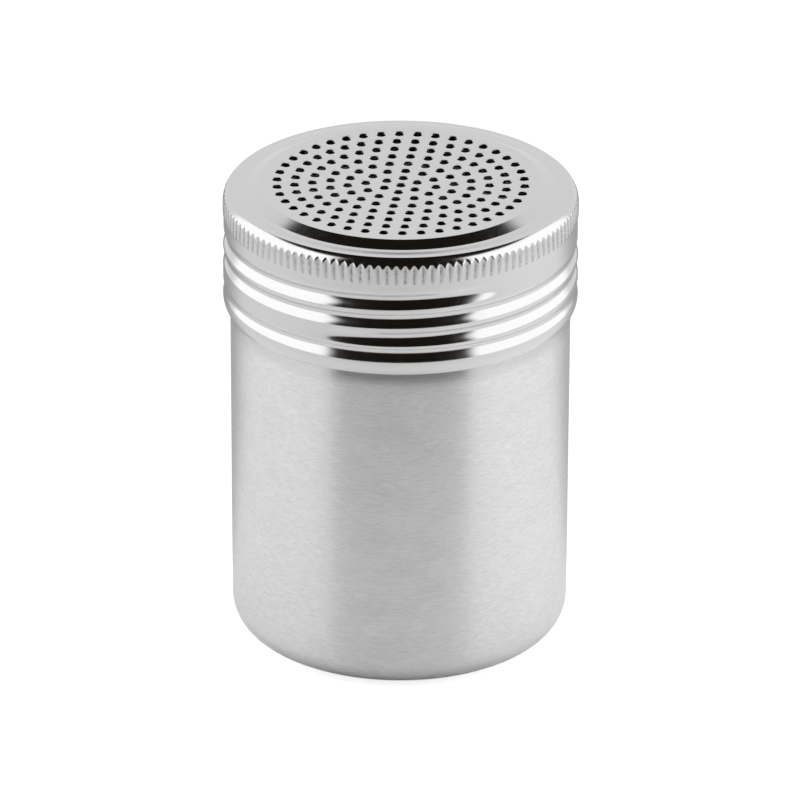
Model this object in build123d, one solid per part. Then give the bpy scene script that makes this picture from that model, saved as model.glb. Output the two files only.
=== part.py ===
from build123d import *
import math
import os

# A two-piece shaker for ground spices, in millimetres: a deep-drawn steel cup and a pressed steel
# screw lid with a perforated top. The origin is the centre of the bottom, on the surface that the
# shaker stands on, and +Z is up. The front is towards -Y. Bearings are degrees from the front,
# anticlockwise as seen from above, so that a bearing of 90 is +X.

# Driving dimensions of the cup
CUP_RADIUS = 33.6
CUP_SHEET = 0.5
CUP_CORNER = 6.0              # outer radius between the wall and the bottom
BOTTOM_RECESS = 1.0           # the middle of the bottom stands this far off the table
BOTTOM_RECESS_RADIUS = 22.0
RECESS_BLEND = 3.0
NECK_RADIUS = 33.05           # outer radius of the neck that the lid goes over
NECK_STEP = (72.6, 74.2)      # heights between which the wall steps in to the neck
NECK_STEP_BLEND = 1.5
MOUTH_HEIGHT = 92.75
CURL_RADIUS = 0.95            # the mouth's edge is rolled inwards to this outer radius
CURL_TURN = 250.0

# Driving dimensions of the lid
LID_SHEET = 0.45
PLATE_HEIGHT = 94.35          # at the centre of the perforated plate
PLATE_DISH_RADIUS = 600.0     # the plate is dished, so it is lowest at its centre
PLATE_DISH_EDGE = 26.4
PLATE_EDGE_RADIUS = 27.6
SLOPE_FOOT_RADIUS = 29.3
SLOPE_BLEND = 0.8
RING_HEIGHT = 93.6            # the flat ring between the plate's slope and the shoulder
SHOULDER_BLEND = 1.3
SKIRT_RADIUS = 34.85
SKIRT_FOOT_HEIGHT = 76.0
RIM_GROOVE = (34.17, 74.25)   # corners, before blending, of the rounded rim below the thread
RIM_CREST = (35.15, 71.4)
RIM_EDGE = (34.3, 69.3)
RIM_BLENDS = (2.0, 1.5, 2.0)

# Knurled grip round the lid
KNURL_RIBS = 126
KNURL_CREST_RADIUS = 35.0
KNURL_VALLEY_RADIUS = 34.8
KNURL_HEIGHTS = (88.3, 92.5)

# Dispensing holes: one in the middle, and 6 more in each ring than in the ring inside it
HOLE_RINGS = 7
HOLES_ADDED_PER_RING = 6
HOLE_RING_PITCH = 3.48
HOLE_DIAMETER = 1.65
HOLE_FIRST_BEARING = 112.2    # every ring has a hole on this bearing

# Right-hand thread, rolled into both sheets
THREAD_PITCH = 3.96
LID_GROOVE_FLOOR = 34.2       # distance from the axis of the floor of the groove in the skirt
LID_GROOVE_SECTION = 1.4      # radius of the groove's round section
LID_GROOVE_START = (-40.0, 76.94)   # bearing and height of its lower end
LID_GROOVE_TURNS = 790 / 360
CUP_BEAD_CREST = 33.6         # distance from the axis of the crest of the bead on the neck
CUP_BEAD_SECTION = 1.2
CUP_BEAD_START = (-40.0, 78.92)
CUP_BEAD_TURNS = 2.0


def sheet_of_revolution(outline, thickness, side):
    """Gives an open outline in the XZ plane a thickness to one side, and turns it about the axis."""
    drawn = Wire(outline)
    offset = drawn.offset_2d(thickness, side=side, closed=False)
    start, end = sorted((offset @ 0, offset @ 1), key=lambda point: (point - drawn @ 0).length)
    closing = [Edge.make_line(drawn @ 0, start), Edge.make_line(drawn @ 1, end)]
    return revolve(Face(Wire(drawn.edges() + offset.edges() + closing)), Axis.Z)


def thread_tube(centre_radius, section_radius, start, turns):
    """A round bar along the thread's helix, with ball ends."""
    bearing, height = start
    helix = Helix(THREAD_PITCH, THREAD_PITCH * turns, centre_radius)
    section = Plane(helix @ 0, z_dir=helix % 0) * Circle(section_radius)
    tube = sweep(section, path=helix, is_frenet=True)
    for end in (helix @ 0, helix @ 1):
        tube += Pos(end.X, end.Y, end.Z) * Sphere(section_radius)
    return Pos(0, 0, height) * Rot(0, 0, bearing - 90) * tube


def ring(inner_radius, outer_radius, low, high):
    """A plain ring about the axis between two heights."""
    face = Circle(outer_radius) - Circle(inner_radius)
    return Pos(0, 0, low) * extrude(face, high - low)


def cup_outline():
    """The cup's outer surface from the centre of the bottom to the end of the rolled mouth."""
    recess_foot = BOTTOM_RECESS_RADIUS + BOTTOM_RECESS * 2
    curl_start = MOUTH_HEIGHT - CURL_RADIUS
    wall = FilletPolyline(
        (0, BOTTOM_RECESS),
        (BOTTOM_RECESS_RADIUS, BOTTOM_RECESS),
        (recess_foot, 0),
        (CUP_RADIUS, 0),
        (CUP_RADIUS, NECK_STEP[0]),
        (NECK_RADIUS, NECK_STEP[1]),
        (NECK_RADIUS, curl_start),
        radius=[RECESS_BLEND, RECESS_BLEND, CUP_CORNER, NECK_STEP_BLEND, NECK_STEP_BLEND],
    )
    curl = CenterArc((NECK_RADIUS - CURL_RADIUS, curl_start), CURL_RADIUS, 0, CURL_TURN)
    return Plane.XZ * (wall + curl)


def make_cup():
    """Deep-drawn cup: recessed bottom, straight wall, threaded neck and rolled mouth."""
    cup = sheet_of_revolution(cup_outline().edges(), CUP_SHEET, Side.LEFT)
    centre = CUP_BEAD_CREST - CUP_BEAD_SECTION
    bead = thread_tube(centre, CUP_BEAD_SECTION, CUP_BEAD_START, CUP_BEAD_TURNS)
    hollow = thread_tube(centre, CUP_BEAD_SECTION - CUP_SHEET, CUP_BEAD_START, CUP_BEAD_TURNS)
    wall_middle = NECK_RADIUS - CUP_SHEET / 2
    outside = ring(wall_middle, CUP_BEAD_CREST + 1, NECK_STEP[1], MOUTH_HEIGHT)
    return cup + (bead & outside) - hollow


def lid_outline():
    """The lid's outer surface from the centre of the plate to the edge of the rim."""
    lean = math.asin(PLATE_DISH_EDGE / PLATE_DISH_RADIUS)
    dish_edge_height = PLATE_HEIGHT + PLATE_DISH_RADIUS * (1 - math.cos(lean))
    plate_edge_height = dish_edge_height + (PLATE_EDGE_RADIUS - PLATE_DISH_EDGE) * math.tan(lean)
    dish = CenterArc(
        (0, PLATE_HEIGHT + PLATE_DISH_RADIUS), PLATE_DISH_RADIUS, -90, math.degrees(lean)
    )
    rest = FilletPolyline(
        (PLATE_DISH_EDGE, dish_edge_height),
        (PLATE_EDGE_RADIUS, plate_edge_height),
        (SLOPE_FOOT_RADIUS, RING_HEIGHT),
        (SKIRT_RADIUS, RING_HEIGHT),
        (SKIRT_RADIUS, SKIRT_FOOT_HEIGHT),
        RIM_GROOVE,
        RIM_CREST,
        RIM_EDGE,
        radius=[SLOPE_BLEND, SLOPE_BLEND, SHOULDER_BLEND, *RIM_BLENDS],
    )
    return Plane.XZ * (dish + rest)


def knurl():
    """A band of upright rounded ribs that stands a little proud of the skirt."""
    step = 2 * math.pi / KNURL_RIBS
    ribs = []
    for rib in range(KNURL_RIBS):
        low, middle, high = (rib * step, (rib + 0.5) * step, (rib + 1) * step)
        ribs.append(
            ThreePointArc(
                (KNURL_VALLEY_RADIUS * math.cos(low), KNURL_VALLEY_RADIUS * math.sin(low)),
                (KNURL_CREST_RADIUS * math.cos(middle), KNURL_CREST_RADIUS * math.sin(middle)),
                (KNURL_VALLEY_RADIUS * math.cos(high), KNURL_VALLEY_RADIUS * math.sin(high)),
            )
        )
    face = Face(Wire(ribs)) - Circle(SKIRT_RADIUS - LID_SHEET / 2)
    low, high = KNURL_HEIGHTS
    return Pos(0, 0, low) * extrude(face, high - low)


def dispensing_holes():
    """Short upright cylinders at the places of the holes in the plate."""
    drill = Pos(0, 0, PLATE_HEIGHT) * Cylinder(HOLE_DIAMETER / 2, 4)
    holes = [drill]
    for number in range(1, HOLE_RINGS + 1):
        count = HOLES_ADDED_PER_RING * number
        for hole in range(count):
            bearing = HOLE_FIRST_BEARING + hole * 360 / count
            holes.append(Rot(0, 0, bearing) * Pos(0, -HOLE_RING_PITCH * number, 0) * drill)
    return holes


def make_lid():
    """Pressed lid: dished plate with holes, knurled grip, threaded skirt and rounded rim."""
    lid = sheet_of_revolution(lid_outline().edges(), LID_SHEET, Side.RIGHT)
    centre = LID_GROOVE_FLOOR + LID_GROOVE_SECTION
    rib = thread_tube(centre, LID_GROOVE_SECTION + LID_SHEET, LID_GROOVE_START, LID_GROOVE_TURNS)
    groove = thread_tube(centre, LID_GROOVE_SECTION, LID_GROOVE_START, LID_GROOVE_TURNS)
    wall_middle = SKIRT_RADIUS - LID_SHEET / 2
    inside = ring(NECK_RADIUS, wall_middle, RIM_GROOVE[1], RING_HEIGHT)
    lid = lid + (rib & inside) - groove
    lid += knurl()
    return lid - dispensing_holes()


def main():
    os.makedirs("parts", exist_ok=True)
    export_step(make_cup(), "parts/cup.step")
    export_step(make_lid(), "parts/lid.step")


main()
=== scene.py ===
import math

import bpy
import numpy as np
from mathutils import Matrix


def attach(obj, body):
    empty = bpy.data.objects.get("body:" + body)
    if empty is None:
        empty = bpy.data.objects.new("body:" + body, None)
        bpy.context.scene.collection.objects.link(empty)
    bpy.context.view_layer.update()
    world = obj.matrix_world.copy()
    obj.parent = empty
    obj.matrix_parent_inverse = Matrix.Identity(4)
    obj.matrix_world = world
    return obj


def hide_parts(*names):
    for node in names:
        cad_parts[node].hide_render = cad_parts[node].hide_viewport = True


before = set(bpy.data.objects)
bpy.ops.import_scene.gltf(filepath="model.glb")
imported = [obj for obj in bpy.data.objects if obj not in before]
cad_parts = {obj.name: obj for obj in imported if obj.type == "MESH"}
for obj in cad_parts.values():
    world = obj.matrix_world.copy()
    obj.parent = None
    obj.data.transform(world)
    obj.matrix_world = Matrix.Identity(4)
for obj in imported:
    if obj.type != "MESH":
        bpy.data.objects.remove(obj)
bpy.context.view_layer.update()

# =============================================================================================
# The cup
# One disc of 0.5 mm stainless steel, deep-drawn to a round cup with a soft corner and a shallow
# recess in the bottom. The neck is drawn in, rolled with the male thread and curled inwards at
# the mouth, so that no cut edge is left. The outside is brushed round the axis on a belt.
# =============================================================================================

MM = 0.001                       # sizes are given in millimetres, and the meshes are in metres
SHARP_FROM = 40.0                # degrees: an edge that turns by more is drawn sharp

CUP_RADII = (33.42, 33.6)        # at the foot of the wall and at the neck: it has a slight draft
CUP_CORNER = 6.2
CUP_SHEET = 0.5
BOTTOM_RECESS = 1.0
BOTTOM_RECESS_RADII = (22.0, 24.0)
RECESS_BLEND = 3.0
NECK_RADIUS = 33.05
NECK_STEP = (67.1, 70.2)         # heights between which the wall goes in to the neck
NECK_BLENDS = (10.0, 4.0)
MOUTH_HEIGHT = 92.75
CURL_RADIUS = 0.95
CURL_TURN = 250.0
CURL_STEPS = 22
THREAD_PITCH = 3.96
BEAD_HEIGHT = 0.45               # how far the male thread stands out of the neck
BEAD_HALF_WIDTH = 1.25
BEAD_FIRST = (-40.0, 78.92)      # bearing and height of its lower end
BEAD_TURNS = 2.0
BEAD_RUN_OUT = (30.0, 30.0)      # degrees over which each end of it fades
CUP_POINTS_ROUND = 240
CUP_WALL_STEP = 4.0
CUP_THREAD_STEP = 0.3

STREAKS = (560, 560, 3300)       # to the metre along X, Y and Z: 1.8 mm long and 0.3 mm thick
GRAIN = 6500.0                   # to the metre: 0.15 mm
PATCHES = (130, 130, 200)        # to the metre: 8 mm wide and 5 mm high
GRAIN_SHARE = 0.4                # in a mixture of grain and streaks
PATCH_SHARE = 0.12               # in one of patches and that mixture
NOISE_RANGE = (0.3, 0.7)         # nearly all of a noise texture's values lie between these
STREAK_DEPTH = 0.014
BRUSHED_COLOURS = ("#D6D6D6", "#F2F2F2")
BRUSHED_ROUGHNESS = (0.3, 0.35)
BRUSHED_ANISOTROPY = 0.85
UNDER_RIM_SHADE_HEIGHTS = (65.0, 68.5)          # heights between which the painted shade under the lid's rim comes in
# Painted shade under the lid's rim: a darker grey, and how much of it is mixed in.
UNDER_RIM_SHADE_COLOUR = "#B4B4B3"
UNDER_RIM_SHADE_SHARE = 0.5


def rounded(points, radii, step=9.0):
    """The points of a polyline with an arc at each corner.

    An arc of radius R that turns by the angle a leaves the line R * tan(a / 2) before its corner.
    It has a point about every `step` degrees, and three at least."""
    points = np.asarray(points, float)
    run = [points[:1]]
    for before, corner, after, radius in zip(points, points[1:], points[2:], radii):
        u = (corner - before) / np.linalg.norm(corner - before)
        v = (after - corner) / np.linalg.norm(after - corner)
        turn = math.atan2(u[0] * v[1] - u[1] * v[0], u @ v)
        to_centre = math.copysign(radius, turn) * np.array([-u[1], u[0]])
        centre = corner - u * radius * math.tan(abs(turn) / 2) + to_centre
        count = max(3, 1 + math.ceil(math.degrees(abs(turn)) / step))
        angle = np.linspace(0.0, abs(turn), count)[:, None]
        run.append(centre - to_centre * np.cos(angle) + u * radius * np.sin(angle))
    run.append(points[-1:])
    return np.concatenate(run)


def divided(path, longest):
    """The same path with each step that is longer than `longest` cut into equal parts."""
    length = np.linalg.norm(np.diff(path, axis=0), axis=1)
    parts = np.maximum(1, np.ceil(length / longest)).astype(int)
    place = np.concatenate([[0.0], np.cumsum(1.0 / np.repeat(parts, parts))])
    return np.stack([np.interp(place, np.arange(len(path)), c) for c in path.T], axis=1)


def beside(path, distance):
    """The path moved to its left: each point goes along the mean of the left-hand normals of its
    two steps, by the distance over the cosine of half the turn between them."""
    step = np.diff(path, axis=0)
    step = step / np.linalg.norm(step, axis=1, keepdims=True)
    left = np.stack([-step[:, 1], step[:, 0]], axis=1)
    mean = (np.concatenate([left[:1], left]) + np.concatenate([left, left[-1:]])) / 2
    return path + distance * mean / np.sum(mean**2, axis=1, keepdims=True)


def eased(x):
    """0 below 0, 1 above 1 and 3x^2 - 2x^3 between them."""
    x = np.clip(x, 0.0, 1.0)
    return x * x * (3.0 - 2.0 * x)


def thread(z, bearing, first, turns, half_width, run_out):
    """How much of a right-hand thread's form is at a height and a bearing, from 0 to 1.

    Across the thread the form is half of 1 + cos(pi * d / half_width), with d the height over its
    centre line, which rises by one pitch a turn from its lower end. Along the thread it eases in
    and out over run_out, a pair of angles, about its two ends."""
    form = np.zeros(np.broadcast(z, bearing).shape)
    for turn in range(-1, int(turns) + 2):
        along = (bearing - first[0] + 180.0) % 360.0 - 180.0 + 360.0 * turn
        d = z - first[1] - THREAD_PITCH * along / 360.0
        across = 0.5 + 0.5 * np.cos(np.pi * np.clip(d / half_width, -1.0, 1.0))
        start = eased(along / run_out[0] + 0.5)
        end = eased((360.0 * turns - along) / run_out[1] + 0.5)
        form += across * start * end
    return form


def bearings(count, first=0.0):
    """The bearings in degrees of points spread evenly round the axis: first + 360 i / count."""
    return first + 360.0 * np.arange(count) / count


def round_the_axis(radius, z, count, first=0.0):
    """A ring of points in mm: x is r * sin(b) and y is -r * cos(b), where b is the bearing from the
    front, anticlockwise as seen from above. Radius and height may be arrays over the ring."""
    b = np.radians(bearings(count, first))
    r, z = np.broadcast_to(radius, count), np.broadcast_to(z, count)
    return np.stack([r * np.sin(b), -r * np.cos(b), z], axis=1)


def skin(rings):
    """Joins rings of points that start at the same bearing. The steel is to the right of the way
    from each ring to the next, as seen with the axis on the left.

    Rings of equal count are joined by quads. Between a ring and one of twice its count three
    triangles close each step of the coarser one, and a ring of one point is closed by a fan."""
    first = np.concatenate([[0], np.cumsum([len(ring) for ring in rings])])
    quads, triangles = [np.empty((0, 4), int)], [np.empty((0, 3), int)]
    for n_a, n_b, a, b in zip(map(len, rings), map(len, rings[1:]), first, first[1:]):
        i = np.arange(max(n_a, n_b) if 1 in (n_a, n_b) else min(n_a, n_b))
        j = (i + 1) % len(i)
        if n_a == n_b:
            quads.append(np.stack([a + i, b + i, b + j, a + j], axis=1))
        elif n_a == 1:
            triangles.append(np.stack([a + 0 * i, b + i, b + j], axis=1))
        elif n_b == 1:
            triangles.append(np.stack([a + i, b + 0 * i, a + j], axis=1))
        elif n_b == 2 * n_a:
            fan = [(a + i, b + 2 * i, b + 2 * i + 1), (a + i, b + 2 * i + 1, a + j),
                   (a + j, b + 2 * i + 1, b + 2 * j)]
            triangles += [np.stack(corner, axis=1) for corner in fan]
        else:
            fan = [(a + 2 * i, b + i, a + 2 * i + 1), (a + 2 * i + 1, b + i, b + j),
                   (a + 2 * i + 1, b + j, a + 2 * j)]
            triangles += [np.stack(corner, axis=1) for corner in fan]
    return np.concatenate(rings), np.concatenate(quads), np.concatenate(triangles)


def add_piece(name, points, quads, triangles, material):
    """Makes an object at the origin of points in mm, smooth but for its sharp edges."""
    mesh = bpy.data.meshes.new(name)
    mesh.from_pydata((points * MM).tolist(), [], quads.tolist() + triangles.tolist())
    mesh.shade_smooth()
    mesh.set_sharp_from_angle(angle=math.radians(SHARP_FROM))
    mesh.materials.append(material)
    piece = bpy.data.objects.new(name, mesh)
    bpy.context.scene.collection.objects.link(piece)
    return piece


def linear(colour):
    """An sRGB hex colour as linear red, green, blue and an alpha of 1."""
    parts = [int(colour[i : i + 2], 16) / 255.0 for i in (1, 3, 5)]
    return [c / 12.92 if c <= 0.04045 else ((c + 0.055) / 1.055) ** 2.4 for c in parts] + [1.0]


def add_node(tree, kind, inputs=None, **settings):
    """Adds a node with its settings. Each input is given a value, or linked to an output."""
    node = tree.nodes.new(kind)
    for name, value in settings.items():
        setattr(node, name, value)
    for socket, value in (inputs or {}).items():
        if isinstance(value, bpy.types.NodeSocket):
            tree.links.new(value, node.inputs[socket])
        else:
            node.inputs[socket].default_value = value
    return node


# Stainless steel 18/8, belt-brushed: the scratches run round the axis, so that it mirrors the room
# sharply round the cup and smears it up and down. One scratch is too fine to show, so a streak is
# a bundle of them. Between the streaks is a fine grain, and the belt has left faint patches. The
# last 2 mm below the neck are painted greyer: painted shade under the lid's rim.
brushed_steel = bpy.data.materials.new("brushed_stainless_steel")
brushed_steel.use_nodes = True
tree = brushed_steel.node_tree
tree.nodes.clear()
place = add_node(tree, "ShaderNodeTexCoord").outputs["Object"]
streak_place = add_node(tree, "ShaderNodeMapping", {"Vector": place, "Scale": STREAKS})
streaks = add_node(tree, "ShaderNodeTexNoise", {
    "Vector": streak_place.outputs["Vector"], "Scale": 1.0, "Detail": 2.0, "Roughness": 0.6})
grain = add_node(tree, "ShaderNodeTexNoise", {
    "Vector": place, "Scale": GRAIN, "Detail": 1.0, "Roughness": 0.5})
patch_place = add_node(tree, "ShaderNodeMapping", {"Vector": place, "Scale": PATCHES})
patches = add_node(tree, "ShaderNodeTexNoise", {
    "Vector": patch_place.outputs["Vector"], "Scale": 1.0, "Detail": 2.0, "Roughness": 0.5})
tone = add_node(tree, "ShaderNodeMix", {
    "Factor": GRAIN_SHARE, "A": streaks.outputs["Fac"], "B": grain.outputs["Fac"]},
    data_type="FLOAT")
tone = add_node(tree, "ShaderNodeMix", {
    "Factor": PATCH_SHARE, "A": tone.outputs["Result"], "B": patches.outputs["Fac"]},
    data_type="FLOAT")
tone = add_node(tree, "ShaderNodeMapRange", {
    "Value": tone.outputs["Result"], "From Min": NOISE_RANGE[0], "From Max": NOISE_RANGE[1]})
colour = add_node(tree, "ShaderNodeMix", {
    "Factor": tone.outputs["Result"], "A": linear(BRUSHED_COLOURS[0]),
    "B": linear(BRUSHED_COLOURS[1])}, data_type="RGBA")
# Painted shade: just under the lid's rim the colour is mixed towards a darker grey.
height = add_node(tree, "ShaderNodeSeparateXYZ", {"Vector": place}).outputs["Z"]
under_rim_shade = add_node(tree, "ShaderNodeMapRange", {
    "Value": height, "From Min": UNDER_RIM_SHADE_HEIGHTS[0] * MM, "From Max": UNDER_RIM_SHADE_HEIGHTS[1] * MM,
    "To Max": UNDER_RIM_SHADE_SHARE}, interpolation_type="SMOOTHSTEP")
colour = add_node(tree, "ShaderNodeMix", {
    "Factor": under_rim_shade.outputs["Result"], "A": colour.outputs["Result"],
    "B": linear(UNDER_RIM_SHADE_COLOUR)}, data_type="RGBA")
haze = add_node(tree, "ShaderNodeMapRange", {
    "Value": patches.outputs["Fac"], "From Min": NOISE_RANGE[0], "From Max": NOISE_RANGE[1],
    "To Min": BRUSHED_ROUGHNESS[0], "To Max": BRUSHED_ROUGHNESS[1]})
bump = add_node(tree, "ShaderNodeBump", {
    "Height": streaks.outputs["Fac"], "Strength": 1.0, "Distance": STREAK_DEPTH * MM})
round_axis = add_node(tree, "ShaderNodeTangent", direction_type="RADIAL", axis="Z")
shader = add_node(tree, "ShaderNodeBsdfPrincipled", {
    "Base Color": colour.outputs["Result"], "Metallic": 1.0, "Roughness": haze.outputs["Result"],
    "Anisotropic": BRUSHED_ANISOTROPY, "Anisotropic Rotation": 0.25,
    "Normal": bump.outputs["Normal"], "Tangent": round_axis.outputs["Tangent"]})
add_node(tree, "ShaderNodeOutputMaterial", {"Surface": shader.outputs["BSDF"]})

# The outside runs from the middle of the bottom to the end of the curl. The whole wall goes up the
# inside first, and then down the outside.
outside = rounded(
    [(0.0, BOTTOM_RECESS), (BOTTOM_RECESS_RADII[0], BOTTOM_RECESS), (BOTTOM_RECESS_RADII[1], 0.0),
     (CUP_RADII[0], 0.0), (CUP_RADII[1], NECK_STEP[0]), (NECK_RADIUS, NECK_STEP[1]),
     (NECK_RADIUS, MOUTH_HEIGHT - CURL_RADIUS)],
    [RECESS_BLEND, RECESS_BLEND, CUP_CORNER, *NECK_BLENDS])
curl_angle = np.radians(np.linspace(0.0, CURL_TURN, CURL_STEPS + 1))[1:]
curl = np.stack([NECK_RADIUS - CURL_RADIUS + CURL_RADIUS * np.cos(curl_angle),
                 MOUTH_HEIGHT - CURL_RADIUS + CURL_RADIUS * np.sin(curl_angle)], axis=1)
outside = np.concatenate([outside, curl])
longest_step = np.where(outside[:-1, 1] > NECK_STEP[1], CUP_THREAD_STEP, CUP_WALL_STEP)
outside = divided(outside, longest_step)
wall = np.concatenate([beside(outside, CUP_SHEET), outside[::-1]])
bead = BEAD_HEIGHT * thread(wall[:, 1:], bearings(CUP_POINTS_ROUND)[None], BEAD_FIRST, BEAD_TURNS,
                            BEAD_HALF_WIDTH, BEAD_RUN_OUT)
rings = [round_the_axis(r + rise, z, CUP_POINTS_ROUND) for (r, z), rise in zip(wall, bead)]
rings[0], rings[-1] = rings[0][:1], rings[-1][:1]        # the two ends are points on the axis
cup = add_piece("drawn_cup", *skin(rings), brushed_steel)
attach(cup, "cup")
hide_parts("cup")

# =============================================================================================
# The lid
# One disc of 0.45 mm stainless steel, pressed to a dished plate in a stepped ring, punched with
# 169 holes, rolled with a knurl for the grip and with the female thread, and rounded at the rim.
# It is buffed to a mirror all over and screws down over the neck of the cup.
# =============================================================================================

LID_SHEET = 0.45
PLATE_HEIGHT = 94.35             # at the centre, the lowest point of the dish
PLATE_DISH_RADIUS = 600.0
PLATE_EDGE_RADIUS = 27.8
SLOPE_FOOT = (30.45, 93.95)
RING_STEP = ((31.2, 93.95), (32.65, 93.77))   # the ring goes down by a shallow step
RING_EDGE = (33.75, 93.77)
TOP_BLENDS = (0.8, 0.6, 3.0, 3.0, 0.4)        # radii at the plate's edge and the four after it
SHOULDER_ARC = 3.25              # radius of the shoulder's curve, which ends upright
SHOULDER_TILT = 45.0             # and how far from level it starts
SHOULDER_FOOT = 91.22            # height where it ends
SHOULDER_STEPS = 11
KNURL_RADIUS = 35.0              # over the crests
SKIRT_RADIUS = 34.85
KNURL_RIBS = 126
KNURL_FOOT = 88.3
KNURL_FIRST = 112.914            # bearing of one valley
KNURL_DEPTH = (0.1, 0.062)       # of a valley at the foot, and what it gains per mm of height
VALLEY_ROUNDNESS = 0.75          # of the valleys at their tops, which are arches
VALLEY_ROUNDS = (1.5, 4.0)       # heights over the foot between which they get round
VALLEY_RUN_OUT = 0.5             # height over which the valleys end at the foot
CREST_RUN_OUT = 0.7              # and over which the crests end in the skirt
THREAD_STANDS_OUT = 0.12         # the threaded part is wider than the skirt by this,
THREAD_STANDS_FROM = (84.0, 81.5)     # and widens between these heights
GROOVE_DEPTH = 0.78
GROOVE_FIRST = (-18.0, 76.96)    # bearing and height of its lower end
GROOVE_TURNS = 762.0 / 360.0     # it goes round by 762 degrees
GROOVE_RUN_OUT = (30.0, 36.0)    # degrees over which its two ends fade
RIM_GROOVE = (75.4, 74.1, 0.53)  # top, floor and depth of the groove above the rim
RIM_CREST = (35.02, 71.8)
RIM_EDGE = (34.3, 69.35)
RIM_STEPS = 5
HOLE_RINGS = 7
HOLE_PITCH = 3.48
HOLE_RADIUS = 0.92
HOLE_ROLL_OVER = ((0.16, 0.0), (0.09, 0.018), (0.0, 0.1))   # distance outside it, depth
FIRST_BEARING = 112.2            # each ring of holes has a hole here
KNURL_POINTS_ROUND = 8 * KNURL_RIBS
LID_POINTS_ROUND = 2 * KNURL_RIBS     # on the plate's rim and the skirt
INSIDE_POINTS_ROUND = KNURL_RIBS
CELL_POINTS = 20                 # round a hole's share of the plate, at least
MIDDLE_CELL_POINTS = 24
TOP_ARC_STEP = 7.0               # degrees
TOP_STEP = 0.4
SKIRT_STEP = 0.24
SKIRT_START = 0.3                # the skirt's first row is this far below the knurl's foot
INSIDE_STEP = 0.4
INSIDE_START = 0.35              # and the first row inside it this far over the rim's edge

WAVES = 160.0                    # to the metre: 6 mm
SMEARS = 350.0                   # to the metre: 3 mm
SPECKS = 2400.0                  # to the metre: 0.4 mm
WAVE_DEPTH = 0.004
BUFFED_COLOUR = "#E0E0E0"
BUFFED_ROUGHNESS = (0.12, 0.17)
# Painted shade in the knurl's valleys: a darker grey in specks, strongest in their bottoms.
VALLEY_SHADE_COLOUR = "#7C7B78"
VALLEY_ROUGHNESS = 0.25         # what the valleys add to the steel's own roughness
VALLEY_SHADE_SPECKS = (0.35, 0.65)    # the noise from which the painted shade thickens, and where it is full
VALLEY_SHADE_THINNEST = 0.2
VALLEY_SHADE_SHARE = 0.75             # where it is full in the bottom of a valley
VALLEY_SHADE_START = 0.2              # its height over the knurl's foot
VALLEY_SHADE_TOP = (92.77, 90.97)     # heights between which it begins at the top
INNER_MARGIN = 0.01              # what a point is further out than the inner face, at least
VALLEY_SHADE_NARROWS = 1.5            # power by which it keeps to the bottom of the valley


def plate(radius):
    """Height of the plate's upper face: a bowl of radius R, so z is z0 + r^2 / (2R)."""
    return PLATE_HEIGHT + radius**2 / (2.0 * PLATE_DISH_RADIUS)


def hole_cell(ring):
    """The outline of one hole's share of the plate, anticlockwise round the hole's centre.

    It is bounded by the two circles half a pitch inside and outside its ring, divided so that the
    next rings' cells share the points, and by the two radii midway to its neighbours."""
    if ring == 0:
        angle = np.radians(bearings(MIDDLE_CELL_POINTS))
        return HOLE_PITCH / 2 * np.stack([np.cos(angle), np.sin(angle)], axis=1)
    half = np.pi / (6 * ring)
    inner, outer = (ring - 0.5) * HOLE_PITCH, (ring + 0.5) * HOLE_PITCH
    n_in = MIDDLE_CELL_POINTS // 6 if ring == 1 else 2 * (ring - 1)
    n_out = LID_POINTS_ROUND // (6 * ring) if ring == HOLE_RINGS else 2 * (ring + 1)
    n_side = max(1, (CELL_POINTS - n_in - n_out) // 2)
    radius = np.concatenate([
        np.linspace(inner, outer, n_side, endpoint=False), np.full(n_out, outer),
        np.linspace(outer, inner, n_side, endpoint=False), np.full(n_in, inner)])
    angle = np.concatenate([
        np.full(n_side, -half), np.linspace(-half, half, n_out, endpoint=False),
        np.full(n_side, half), np.linspace(half, -half, n_in, endpoint=False)])
    return np.stack([radius * np.cos(angle) - ring * HOLE_PITCH, radius * np.sin(angle)], axis=1)


def holes(ring):
    """Points, quads and no triangles of a ring of punched holes, each in its cell of the plate.

    Layers of points go from the cell's outline in over the rolled edge, down the wall of the hole
    and out again under the plate. Each layer's points are on rays between even spacing and the
    directions of the outline's points, so that the quads don't twist."""
    cell = hole_cell(ring)
    n = len(cell)
    ray = np.unwrap(np.arctan2(cell[:, 1], cell[:, 0]))
    even = 2 * np.pi * np.arange(n) / n
    ray = (ray + even + np.mean(ray - even)) / 2
    circle = np.stack([np.cos(ray), np.sin(ray)], axis=1)
    layers = [cell] + [(HOLE_RADIUS + out) * circle for out, _ in HOLE_ROLL_OVER]
    layers = np.stack(layers + [HOLE_RADIUS * circle, cell])[:, None]    # layer, hole, point, xy
    sunk = np.array([0.0] + [deep for _, deep in HOLE_ROLL_OVER] + [LID_SHEET, LID_SHEET])
    b = np.radians(bearings(max(1, 6 * ring), FIRST_BEARING))[None, :, None]
    out, side = layers[..., 0] + ring * HOLE_PITCH, layers[..., 1]
    x, y = out * np.sin(b) + side * np.cos(b), -out * np.cos(b) + side * np.sin(b)
    z = plate(np.hypot(x, y)) - sunk[:, None, None]
    index = np.arange(x.size).reshape(x.shape)
    step = np.roll(index, -1, axis=2)
    quads = np.stack([index[:-1], step[:-1], step[1:], index[1:]], axis=-1)
    return np.stack([x, y, z], axis=-1).reshape(-1, 3), quads.reshape(-1, 4), np.empty((0, 3), int)


def valley(bearing, roundness=0.0):
    """The form across the knurl's valleys: 1 - |sin|, round ribs and sharp valleys, where the
    roundness is 0, and |cos|, round valleys and sharp ribs, where it is 1."""
    across = np.radians(bearing - KNURL_FIRST) * KNURL_RIBS / 2.0
    sharp = 1.0 - np.abs(np.sin(across))
    return sharp + roundness * (np.abs(np.cos(across)) - sharp)


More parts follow.
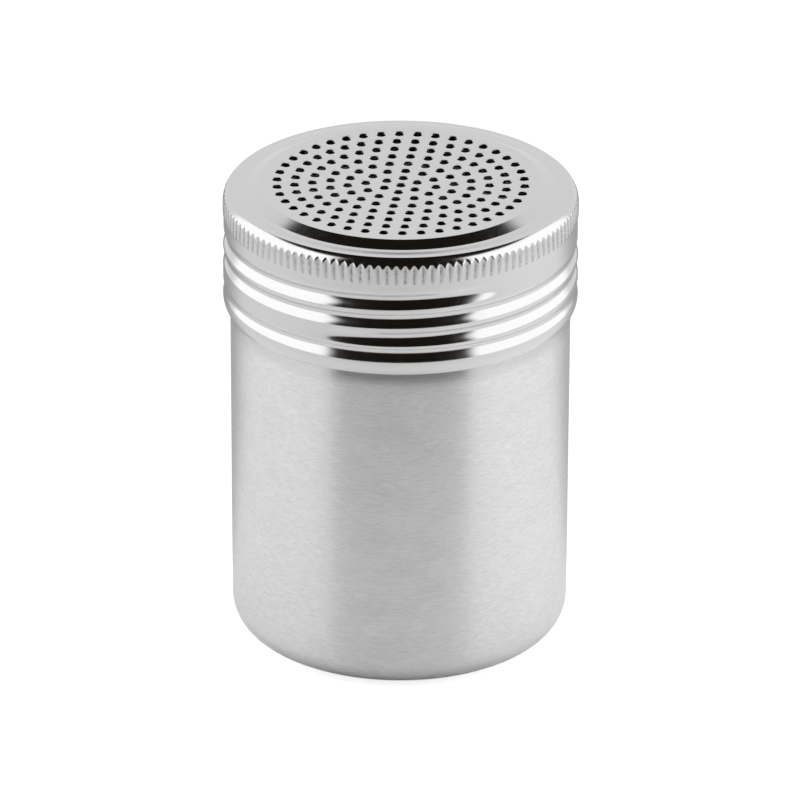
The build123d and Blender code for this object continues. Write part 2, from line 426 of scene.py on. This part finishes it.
def knurled(radius, z, bearing):
    """The radius with the knurl rolled in, from the radius over its crests.

    A valley's depth below the knurl's radius is a + b u, with u the height over the foot. It runs
    up until it meets the shoulder, where it is round and ends in an arch. At the foot the crests
    ease in to the plain skirt, and the valleys run out."""
    u = max(z - KNURL_FOOT, 0.0)
    radius = radius - (KNURL_RADIUS - SKIRT_RADIUS) * (1.0 - eased(u / CREST_RUN_OUT))
    depth = (KNURL_DEPTH[0] + KNURL_DEPTH[1] * u) * eased(u / VALLEY_RUN_OUT)
    start, full = VALLEY_ROUNDS
    roundness = VALLEY_ROUNDNESS * eased((u - start) / (full - start))
    return np.minimum(radius, KNURL_RADIUS - depth * valley(bearing, roundness))


def skirt(z, bearing):
    """Outer radius of the skirt below the knurl, in mm.

    It is a cylinder that widens for the thread, less the thread's groove, down to the groove above
    the rim. That groove falls by half a cosine wave and rises by another to the rim's crest, and
    from there a parabola goes in to the edge."""
    top, floor, depth = RIM_GROOVE
    crest_radius, crest = RIM_CREST
    plain, wide = THREAD_STANDS_FROM
    radius = SKIRT_RADIUS + THREAD_STANDS_OUT * eased((plain - z) / (plain - wide))
    sunk = 0.5 + 0.5 * np.cos(np.pi * np.clip((z - floor) / (top - floor), 0, 1))
    fall = radius - depth * sunk
    inward = 0.5 + 0.5 * np.cos(np.pi * np.clip((floor - z) / (floor - crest), 0, 1))
    rise = crest_radius - (crest_radius - radius + depth) * inward
    below_crest = np.clip(crest - z, 0, None) / (crest - RIM_EDGE[1])
    under = (crest_radius - RIM_EDGE[0]) * below_crest**2
    groove = thread(z, bearing, GROOVE_FIRST, GROOVE_TURNS, THREAD_PITCH / 2, GROOVE_RUN_OUT)
    return np.where(z > floor, fall, rise - under) - GROOVE_DEPTH * groove


def welded(points, quads, triangles):
    """The same skin with points that agree to a tenth of a micron made one."""
    _, keep, number = np.unique(np.round(points, 4), axis=0, return_index=True, return_inverse=True)
    number = number.reshape(-1)
    return points[keep], number[quads], number[triangles]


# Stainless steel 18/8, pressed and then buffed: a mirror with a faint haze, and a trace of the
# drawing in it, waves of a few millimetres that are a micron or two high. The bottom of the knurl's
# valleys is rougher and painted darker grey in specks: painted shade where the valleys are in
# shadow.
polished_steel = bpy.data.materials.new("polished_stainless_steel")
polished_steel.use_nodes = True
tree = polished_steel.node_tree
tree.nodes.clear()
place = add_node(tree, "ShaderNodeTexCoord").outputs["Object"]
waves = add_node(tree, "ShaderNodeTexNoise", {
    "Vector": place, "Scale": WAVES, "Detail": 2.0, "Roughness": 0.5})
smears = add_node(tree, "ShaderNodeTexNoise", {
    "Vector": place, "Scale": SMEARS, "Detail": 4.0, "Roughness": 0.6})
haze = add_node(tree, "ShaderNodeMapRange", {
    "Value": smears.outputs["Fac"], "From Min": NOISE_RANGE[0], "From Max": NOISE_RANGE[1],
    "To Min": BUFFED_ROUGHNESS[0], "To Max": BUFFED_ROUGHNESS[1]})
painted_valley_shade = add_node(tree, "ShaderNodeAttribute", attribute_name="painted_valley_shade").outputs["Fac"]
specks = add_node(tree, "ShaderNodeTexNoise", {
    "Vector": place, "Scale": SPECKS, "Detail": 2.0, "Roughness": 0.6})
# Painted shade: the bottom of the knurl's valleys is mixed towards a darker grey.
valley_shade = add_node(tree, "ShaderNodeMapRange", {
    "Value": specks.outputs["Fac"], "From Min": VALLEY_SHADE_SPECKS[0],
    "From Max": VALLEY_SHADE_SPECKS[1], "To Min": VALLEY_SHADE_THINNEST})
valley_shade = add_node(tree, "ShaderNodeMath", {
    0: valley_shade.outputs["Result"], 1: painted_valley_shade}, operation="MULTIPLY")
dullness = add_node(tree, "ShaderNodeMath", {
    0: valley_shade.outputs["Value"], 1: VALLEY_ROUGHNESS, 2: haze.outputs["Result"]},
    operation="MULTIPLY_ADD")
colour = add_node(tree, "ShaderNodeMix", {
    "Factor": valley_shade.outputs["Value"], "A": linear(BUFFED_COLOUR), "B": linear(VALLEY_SHADE_COLOUR)},
    data_type="RGBA")
bump = add_node(tree, "ShaderNodeBump", {
    "Height": waves.outputs["Fac"], "Strength": 1.0, "Distance": WAVE_DEPTH * MM})
shader = add_node(tree, "ShaderNodeBsdfPrincipled", {
    "Base Color": colour.outputs["Result"], "Metallic": 1.0, "Roughness": dullness.outputs["Value"],
    "Normal": bump.outputs["Normal"]})
add_node(tree, "ShaderNodeOutputMaterial", {"Surface": shader.outputs["BSDF"]})

# From the outermost cells over the slope, the ring and the shoulder down to the knurl's foot.
cells_edge = (HOLE_RINGS + 0.5) * HOLE_PITCH
tilt = np.radians(np.linspace(SHOULDER_TILT, 90.0, SHOULDER_STEPS + 1))
shoulder = np.stack([KNURL_RADIUS - SHOULDER_ARC * (1.0 - np.sin(tilt)),
                     SHOULDER_FOOT + SHOULDER_ARC * np.cos(tilt)], axis=1)
top = rounded(
    [(cells_edge, plate(cells_edge)), (PLATE_EDGE_RADIUS, plate(PLATE_EDGE_RADIUS)), SLOPE_FOOT,
     *RING_STEP, RING_EDGE, shoulder[0]],
    TOP_BLENDS, step=TOP_ARC_STEP)
top = divided(np.concatenate([top, shoulder[1:], [(KNURL_RADIUS, KNURL_FOOT)]]), TOP_STEP)
underside = beside(top, -LID_SHEET)
underside[:, 0] = np.minimum(underside[:, 0], SKIRT_RADIUS - LID_SHEET)
underside[0] = (cells_edge, plate(cells_edge) - LID_SHEET)
counts = np.where(top[:, 0] > RING_EDGE[0], KNURL_POINTS_ROUND, LID_POINTS_ROUND)
counts[np.argmax(counts) - 1] = KNURL_POINTS_ROUND // 2
rings = [round_the_axis(knurled(r, z, bearings(n, FIRST_BEARING)), z, n, FIRST_BEARING)
         for (r, z), n in zip(top, counts)]
rings.append(round_the_axis(
    SKIRT_RADIUS, KNURL_FOOT - SKIRT_START / 2, KNURL_POINTS_ROUND // 2, FIRST_BEARING))

# The skirt, the rounded cut edge of the sheet, and back up the inside to the plate.
rows = np.arange(KNURL_FOOT - SKIRT_START, RIM_EDGE[1], -SKIRT_STEP)
for z, r in zip(rows, skirt(rows[:, None], bearings(LID_POINTS_ROUND, FIRST_BEARING)[None])):
    rings.append(round_the_axis(r, z, LID_POINTS_ROUND, FIRST_BEARING))
edge_angle = np.radians(np.linspace(0.0, 180.0, RIM_STEPS + 1))
for r, z in zip(RIM_EDGE[0] - LID_SHEET / 2 * (1 - np.cos(edge_angle)),
                RIM_EDGE[1] - LID_SHEET / 2 * np.sin(edge_angle)):
    rings.append(round_the_axis(r, z, LID_POINTS_ROUND, FIRST_BEARING))
rows = np.arange(RIM_EDGE[1] + INSIDE_START, KNURL_FOOT, INSIDE_STEP)
inside = skirt(rows[:, None], bearings(INSIDE_POINTS_ROUND, FIRST_BEARING)[None]) - LID_SHEET
for z, r in zip(rows, inside):
    rings.append(round_the_axis(r, z, INSIDE_POINTS_ROUND, FIRST_BEARING))
for r, z in underside[:1:-1]:
    rings.append(round_the_axis(r, z, INSIDE_POINTS_ROUND, FIRST_BEARING))
for r, z in underside[1::-1]:
    rings.append(round_the_axis(r, z, LID_POINTS_ROUND, FIRST_BEARING))

parts = [skin(rings)] + [holes(ring) for ring in range(HOLE_RINGS + 1)]
start = np.concatenate([[0], np.cumsum([len(part[0]) for part in parts])])
points = np.concatenate([part[0] for part in parts])
quads, triangles = [np.concatenate([part[i] + s for part, s in zip(parts, start)]) for i in (1, 2)]
points, quads, triangles = welded(points, quads, triangles)
lid = add_piece("screw_lid", points, quads, triangles, polished_steel)

# The painted shade lies in the valleys of the outer face, which is all further out than the inner
# one.
x, y, z = points.T
past_inner_face = np.hypot(x, y) > SKIRT_RADIUS - LID_SHEET + INNER_MARGIN
in_knurl = past_inner_face & (z > KNURL_FOOT + VALLEY_SHADE_START)
share = VALLEY_SHADE_SHARE * in_knurl * eased((VALLEY_SHADE_TOP[0] - z) / (VALLEY_SHADE_TOP[0] - VALLEY_SHADE_TOP[1]))
deepest = valley(np.degrees(np.arctan2(x, -y))) ** VALLEY_SHADE_NARROWS
painted_valley_shade = lid.data.attributes.new("painted_valley_shade", "FLOAT", "POINT")
painted_valley_shade.data.foreach_set("value", share * deepest)
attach(lid, "lid")
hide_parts("lid")

# =============================================================================================
# The studio
# A small white table before a white background, with a large soft light at each side, a pale wall
# behind the shaker, a soft light over the table, and none from the camera's side.
# =============================================================================================

TABLE_RINGS = (50.0, 100.0, 200.0, 420.0)
TABLE_POINTS_ROUND = 96
# The table's painted light and painted shade: a darker colour behind the shaker, and a glow in a
# mirror.
TABLE_COLOURS = ("#F0F0F0", "#B0B0B0")      # in front of and beside the shaker, and behind it
BEHIND = (0.35, 0.85)            # it changes between these cosines of the angle from the back
TABLE_WHITE = 0.75               # strength with which the camera sees the table
SIDE_GLOW = (0.16, 0.045)        # strengths in a mirror: a and b of a x^2 + b x
THROWN_GLOW = 0.07               # painted light round the shaker, added to that,
THROWN_REACH = (150.0, 45.0)     # between these distances from its axis
SHAKER_FOOT = 36.0               # and not under it

OVERHEAD_SIZE = 0.6              # m, of the lamp over the table
OVERHEAD_HEIGHT = 0.6            # m
OVERHEAD_POWER = 2.1             # W

SIDE_STRENGTH = 1.3
WALL_STRENGTH = 0.8
WALL_DIP = 0.25                  # fall of the wall's lit top per degree towards its middle
UNLIT_COLOUR = "#19140F"

CAMERA_PLACE = (0.0, -1.52964, 0.76136)     # m
CAMERA_TURN = (90.0 - 25.008, -0.181, 0.085)   # degrees: 25 down, and rolled by 0.2
CAMERA_LENS = 382.5              # mm, before a sensor 36 mm wide

# In a mirror the table glows with painted light, lighter towards its lit sides and most to the
# right: by a x^2 + b x, with x the sine of the bearing, and more round the shaker, for the light it
# throws. Behind the shaker it is painted darker, as painted shade. To the camera it is white.
table_material = bpy.data.materials.new("white_table")
table_material.use_nodes = True
tree = table_material.node_tree
tree.nodes.clear()
place = add_node(tree, "ShaderNodeTexCoord").outputs["Object"]
bearing = add_node(tree, "ShaderNodeVectorMath", {0: place}, operation="NORMALIZE")
bearing = add_node(tree, "ShaderNodeSeparateXYZ", {"Vector": bearing.outputs["Vector"]})
x = bearing.outputs["X"]
behind = add_node(tree, "ShaderNodeMapRange", {
    "Value": bearing.outputs["Y"], "From Min": BEHIND[0], "From Max": BEHIND[1]},
    interpolation_type="SMOOTHSTEP")
colour = add_node(tree, "ShaderNodeMix", {
    "Factor": behind.outputs["Result"], "A": linear(TABLE_COLOURS[0]),
    "B": linear(TABLE_COLOURS[1])}, data_type="RGBA")
distance = add_node(tree, "ShaderNodeVectorMath", {0: place}, operation="LENGTH")
thrown = add_node(tree, "ShaderNodeMapRange", {
    "Value": distance.outputs["Value"], "From Min": THROWN_REACH[0] * MM,
    "From Max": THROWN_REACH[1] * MM, "To Max": THROWN_GLOW}, interpolation_type="SMOOTHSTEP")
past_foot = add_node(tree, "ShaderNodeMath", {
    0: distance.outputs["Value"], 1: SHAKER_FOOT * MM}, operation="GREATER_THAN")
thrown = add_node(tree, "ShaderNodeMath", {
    0: thrown.outputs["Result"], 1: past_foot.outputs["Value"]}, operation="MULTIPLY")
glow = add_node(tree, "ShaderNodeMath", {
    0: x, 1: SIDE_GLOW[0], 2: SIDE_GLOW[1]}, operation="MULTIPLY_ADD")
glow = add_node(tree, "ShaderNodeMath", {
    0: glow.outputs["Value"], 1: x, 2: thrown.outputs["Value"]}, operation="MULTIPLY_ADD")
ray = add_node(tree, "ShaderNodeLightPath")
mirrored = add_node(tree, "ShaderNodeMath", {
    0: glow.outputs["Value"], 1: ray.outputs["Is Glossy Ray"]}, operation="MULTIPLY")
seen = add_node(tree, "ShaderNodeMath", {
    0: ray.outputs["Is Camera Ray"], 1: TABLE_WHITE, 2: mirrored.outputs["Value"]},
    operation="MULTIPLY_ADD")
white = add_node(tree, "ShaderNodeEmission", {
    "Color": linear("#FFFFFF"), "Strength": seen.outputs["Value"]})
paint = add_node(tree, "ShaderNodeBsdfDiffuse", {"Color": colour.outputs["Result"]})
both = add_node(tree, "ShaderNodeAddShader", {
    0: white.outputs["Emission"], 1: paint.outputs["BSDF"]})
add_node(tree, "ShaderNodeOutputMaterial", {"Surface": both.outputs["Shader"]})

rings = [np.zeros((1, 3))] + [round_the_axis(r, 0.0, TABLE_POINTS_ROUND) for r in TABLE_RINGS]
table = add_piece("table", *skin(rings), table_material)

# The lamp over the table lights the shaker, and isn't mirrored in it.
overhead_data = bpy.data.lights.new("overhead_light", "AREA")
overhead_data.shape = "SQUARE"
overhead_data.size = OVERHEAD_SIZE
overhead_data.energy = OVERHEAD_POWER
overhead = bpy.data.objects.new("overhead_light", overhead_data)
overhead.location = (0.0, 0.0, OVERHEAD_HEIGHT)
overhead.visible_glossy = False
bpy.context.scene.collection.objects.link(overhead)

# The room is what the steel mirrors: dark but for its two lit sides and its pale wall. The camera
# sees white all round. The azimuth is from the camera's side, the same both ways.
world = bpy.data.worlds.new("studio")
bpy.context.scene.world = world
world.use_nodes = True
tree = world.node_tree
tree.nodes.clear()
toward = add_node(tree, "ShaderNodeSeparateXYZ", {
    "Vector": add_node(tree, "ShaderNodeTexCoord").outputs["Generated"]})
sideways = add_node(tree, "ShaderNodeMath", {0: toward.outputs["X"]}, operation="ABSOLUTE")
forward = add_node(tree, "ShaderNodeMath", {
    0: toward.outputs["Y"], 1: -1.0}, operation="MULTIPLY")
azimuth = add_node(tree, "ShaderNodeMath", {
    0: sideways.outputs["Value"], 1: forward.outputs["Value"]}, operation="ARCTAN2")
azimuth = add_node(tree, "ShaderNodeMath", {0: azimuth.outputs["Value"]}, operation="DEGREES")
elevation = add_node(tree, "ShaderNodeMath", {0: toward.outputs["Z"]}, operation="ARCSINE")
elevation = add_node(tree, "ShaderNodeMath", {0: elevation.outputs["Value"]}, operation="DEGREES")
wall_height = add_node(tree, "ShaderNodeMath", {
    0: azimuth.outputs["Value"], 1: WALL_DIP, 2: elevation.outputs["Value"]},
    operation="MULTIPLY_ADD")
# Each area of the room is 1 inside and 0 outside, with a soft edge: what is measured, in degrees,
# where the area starts to rise, and where it is full. The pale wall is lit less high in its
# middle, so a part of the azimuth is added to its height.
edges = {
    "past_front": (azimuth, 41.0, 50.0),
    "past_side": (azimuth, 124.0, 134.0),
    "below_side_top": (elevation, 49.0, 41.0),
    "below_wall_top": (wall_height, 84.0, 81.5),
}
area = {
    name: add_node(tree, "ShaderNodeMapRange", {
        "Value": measured.outputs["Value"], "From Min": edge, "From Max": full},
        interpolation_type="SMOOTHSTEP").outputs["Result"]
    for name, (measured, edge, full) in edges.items()}
side = add_node(tree, "ShaderNodeMath", {
    0: area["past_front"], 1: area["below_side_top"]}, operation="MULTIPLY")
side = add_node(tree, "ShaderNodeMath", {
    0: side.outputs["Value"], 1: SIDE_STRENGTH}, operation="MULTIPLY")
wall_light = add_node(tree, "ShaderNodeMath", {
    0: area["below_wall_top"], 1: WALL_STRENGTH}, operation="MULTIPLY")
light = add_node(tree, "ShaderNodeMix", {
    "Factor": area["past_side"], "A": side.outputs["Value"], "B": wall_light.outputs["Value"]},
    data_type="FLOAT")
lit = add_node(tree, "ShaderNodeBackground", {
    "Color": linear("#FFFFFF"), "Strength": light.outputs["Result"]})
unlit = add_node(tree, "ShaderNodeBackground", {"Color": linear(UNLIT_COLOUR), "Strength": 1.0})
room = add_node(tree, "ShaderNodeAddShader", {
    0: lit.outputs["Background"], 1: unlit.outputs["Background"]})
backdrop = add_node(tree, "ShaderNodeBackground", {"Color": linear("#FFFFFF"), "Strength": 1.0})
ray = add_node(tree, "ShaderNodeLightPath")
shown = add_node(tree, "ShaderNodeMixShader", {
    "Fac": ray.outputs["Is Camera Ray"], 1: room.outputs["Shader"],
    2: backdrop.outputs["Background"]})
add_node(tree, "ShaderNodeOutputWorld", {"Surface": shown.outputs["Shader"]})

# The camera stands in front of the shaker, 1.7 m away and 25 degrees above it, with a long lens.
camera_data = bpy.data.cameras.new("camera")
camera_data.lens = CAMERA_LENS
camera_data.sensor_width = 36.0
camera_data.clip_start = 0.1
camera_data.clip_end = 20.0
camera = bpy.data.objects.new("camera", camera_data)
camera.location = CAMERA_PLACE
camera.rotation_euler = [math.radians(angle) for angle in CAMERA_TURN]
bpy.context.scene.collection.objects.link(camera)
bpy.context.scene.camera = camera
bpy.context.scene.view_settings.view_transform = "Standard"
